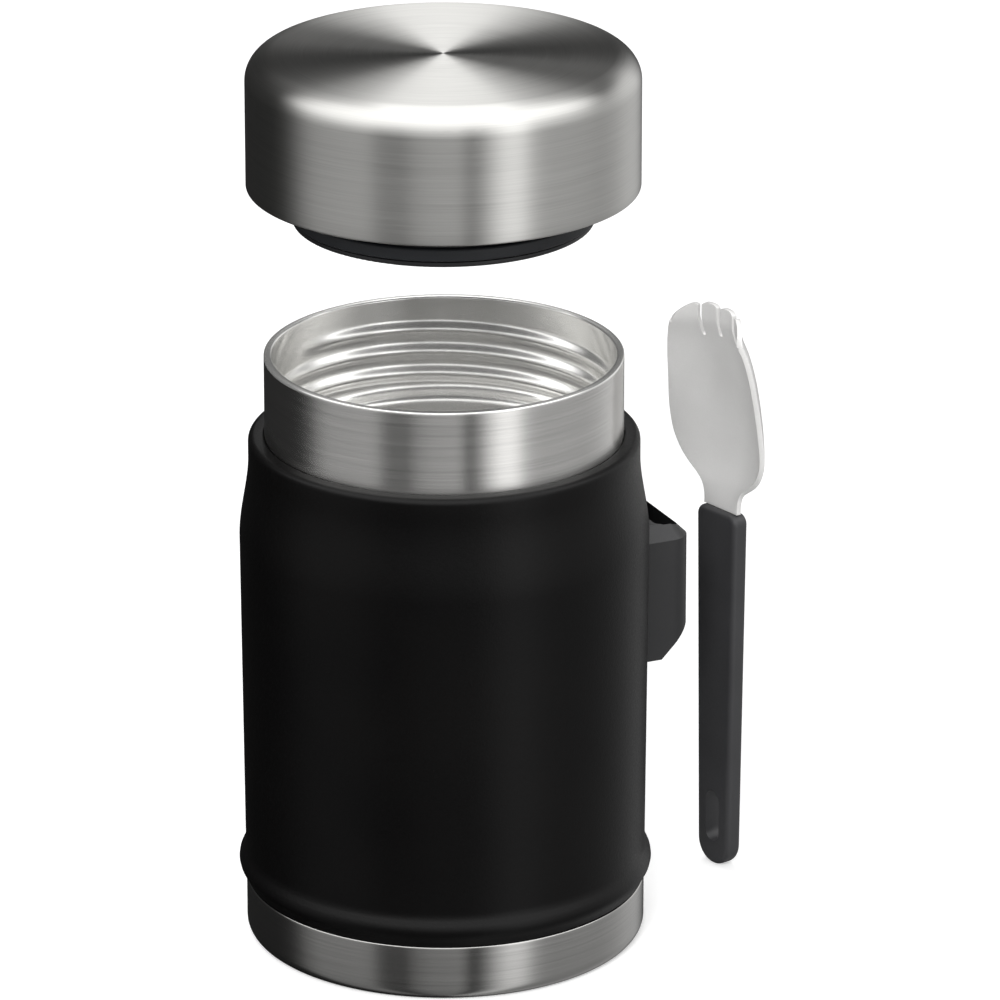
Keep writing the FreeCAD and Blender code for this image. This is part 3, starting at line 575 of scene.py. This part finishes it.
# Hidden steel and vacuum parts: a plate that closes the vacuum space and a bracket welded to the
# shell, both left as pressed, a bead of glass in the pumping hole and a dark getter pellet.
pressed_steel = brushed_steel("pressed_steel", (0.42, 0.42, 0.41), 0.40)
finish_node("vacuum_bottom", pressed_steel)
finish_node("holder_bracket", pressed_steel)
finish_node("seal_button", moulded("sealing_glass", (0.05, 0.07, 0.08), 0.15, 600.0, 0.05))
finish_node("getter", moulded("getter_metal", (0.06, 0.06, 0.065), 0.6, 2500.0, 0.4))


# Spork holder: a loop moulded in black plastic with a slot for the grip. It is pushed down over
# the bracket on the jar's side.
finish_node("spork_holder", moulded("holder_plastic", (0.016, 0.016, 0.017), 0.45, 1500.0, 0.15))


# Spork blade: stamped from one sheet of steel. The bowl and the four tines are pressed, and the neck
# runs down into the grip. Its even pale grey, mostly matt, is painted reflection of the bright studio.
# Each row is a height, the half width, how far the rim reaches forward and the bowl's depth.
HEAD_FORM = [
    (84.0, 6.1, 0.0, 0.0), (88.0, 6.1, 0.0, 0.0), (92.0, 6.0, 0.0, 0.1), (95.2, 7.2, 0.1, 0.7),
    (98.6, 11.6, 0.5, 2.2), (101.2, 14.0, 0.9, 3.3), (105.5, 16.0, 1.6, 4.6),
    (112.0, 16.6, 2.6, 5.8), (119.5, 16.1, 3.5, 6.2), (126.0, 15.4, 4.4, 6.0),
    (131.5, 14.2, 5.3, 5.5), (135.3, 12.6, 6.0, 5.0), (142.0, 12.0, 7.4, 4.4),
]
NECK_FOOT, CROWN_FOOT, HEAD_TIP, CROWN_ROUND = 90.05, 135.3, 140.5, 3.7
SLOTS = [(6.2, 131.8), (0.0, 133.0), (-6.2, 131.8)]
SLOT_HALF, TIP_ROUND, BLADE_HALF, BLADE_EDGE = 0.55, 0.7, 0.6, 0.22
BOWL_STEEPNESS, PAST_RIM, PAST_LAST_ROW = 3, 1.05, 1.3
RIM_FOLD = math.radians(55)
CUTS_ACROSS, CUTS_UP = spaced(-16.4, 16.4, 42), spaced(90.6, 140.2, 60)
SPORK_PLACE, SPORK_YAW = (74.0, 5.7), math.radians(-76)


def head_form(up):
    """Half width, reach of the rim and depth of the bowl at a height, smooth between rows."""
    place = max(row for row in range(1, len(HEAD_FORM) - 2) if HEAD_FORM[row][0] <= up)
    before, low, high, after = HEAD_FORM[place - 1 : place + 3]
    step = high[0] - low[0]
    share = min((up - low[0]) / step, PAST_LAST_ROW)
    form = []
    for column in (1, 2, 3):
        slope_low = (high[column] - before[column]) / (high[0] - before[0]) * step
        slope_high = (after[column] - low[column]) / (after[0] - low[0]) * step
        form.append(
            (2 * share**3 - 3 * share**2 + 1) * low[column]
            + (share**3 - 2 * share**2 + share) * slope_low
            + (3 * share**2 - 2 * share**3) * high[column]
            + (share**3 - share**2) * slope_high
        )
    return form


def crown(across):
    """Height of the head's tip end at a distance from its middle."""
    share = abs(across) / head_form(CROWN_FOOT)[0]
    return HEAD_TIP - (HEAD_TIP - CROWN_FOOT) * min(share, 1) ** CROWN_ROUND


def slice_mesh(build, place, direction):
    """Cut the sheet along a plane and keep both sides."""
    everything = build.verts[:] + build.edges[:] + build.faces[:]
    bmesh.ops.bisect_plane(build, geom=everything, plane_co=place, plane_no=direction, dist=1e-6)


def pale_steel_painted_reflection(name):
    """Steel in an even pale, mostly matt grey, painted reflection of the bright studio, with faint
    marks of its own.
    """
    material, paint = new_paint(name)
    place = paint.place()
    fine = paint.noise(place, 2600.0, 2.0, 0.6)
    cloud = paint.noise(place, 55.0, 3.0, 0.55)
    shade = paint.range(cloud * 0.7 + fine * 0.3, 0.35, 0.65, 0.0, 1.0)
    paint.surface(
        {
            "Base Color": paint.mix_colour(shade, (0.72, 0.715, 0.705, 1), (0.78, 0.775, 0.765, 1)),
            "Metallic": 0.15,
            "Roughness": paint.range(fine, 0.3, 0.7, 0.34, 0.42),
            "Normal": paint.dents(fine, 0.08, 0.00003),
        }
    )
    return material


side = [(head_form(up)[0], up) for up in spaced(NECK_FOOT, CROWN_FOOT, 60)]
tine_edges = [side[-1][0]]
for middle, _ in SLOTS:
    tine_edges += [middle + SLOT_HALF, middle - SLOT_HALF]
tine_edges.append(-side[-1][0])
blade_outline = side[:-1]
for tine, (edge, next_edge) in enumerate(zip(tine_edges[::2], tine_edges[1::2])):
    middle, half = (edge + next_edge) / 2, (edge - next_edge) / 2
    for across in spaced(edge, next_edge, 17):
        drop = TIP_ROUND * (abs(across - middle) / half) ** 4
        blade_outline.append((across, crown(across) - drop))
    if tine < len(SLOTS):
        across, slot_floor = SLOTS[tine]
        blade_outline += arc((across, slot_floor + SLOT_HALF), SLOT_HALF, 0, -180)
blade_outline += [(-across, up) for across, up in reversed(side[:-1])]
build = bmesh.new()
build.faces.new([build.verts.new((across * MM, 0, up * MM)) for across, up in blade_outline])
for across in CUTS_ACROSS:
    slice_mesh(build, (across * MM, 0, 0), (1, 0, 0))
for up in CUTS_UP:
    slice_mesh(build, (0, 0, up * MM), (0, 0, 1))
for vertex in build.verts:
    half, forward, depth = head_form(vertex.co.z / MM)
    share = min(abs(vertex.co.x / MM) / half, PAST_RIM)
    vertex.co.y = (depth * (1 - share**BOWL_STEEPNESS) - forward) * MM
bmesh.ops.recalc_face_normals(build, faces=build.faces[:])
build.normal_update()
for vertex, normal in [(vertex, vertex.normal.copy()) for vertex in build.verts]:
    vertex.co += normal * BLADE_HALF * MM
bmesh.ops.solidify(build, geom=build.faces[:], thickness=2 * BLADE_HALF * MM)
bmesh.ops.recalc_face_normals(build, faces=build.faces[:])
rim = [edge for edge in build.edges if edge.is_manifold and edge.calc_face_angle() > RIM_FOLD]
bmesh.ops.bevel(
    build, geom=rim, offset=BLADE_EDGE * MM, offset_type="OFFSET", affect="EDGES", segments=2,
    profile=0.5, material=-1, clamp_overlap=True,
)
moved = Matrix.Translation((SPORK_PLACE[0] * MM, SPORK_PLACE[1] * MM, 0))
stand = moved @ Matrix.Rotation(SPORK_YAW, 4, "Z")
bmesh.ops.transform(build, matrix=stand, verts=build.verts[:])
finish_piece("spork_blade_head", build, pale_steel_painted_reflection("pale_steel_painted_reflection"), "spork", "spork_blade")


# Spork grip: charcoal plastic with a round foot and a hanging hole. It is moulded over the
# blade's neck.
finish_node("spork_grip", moulded("charcoal_plastic", (0.034, 0.034, 0.036), 0.45, 1500.0, 0.15))
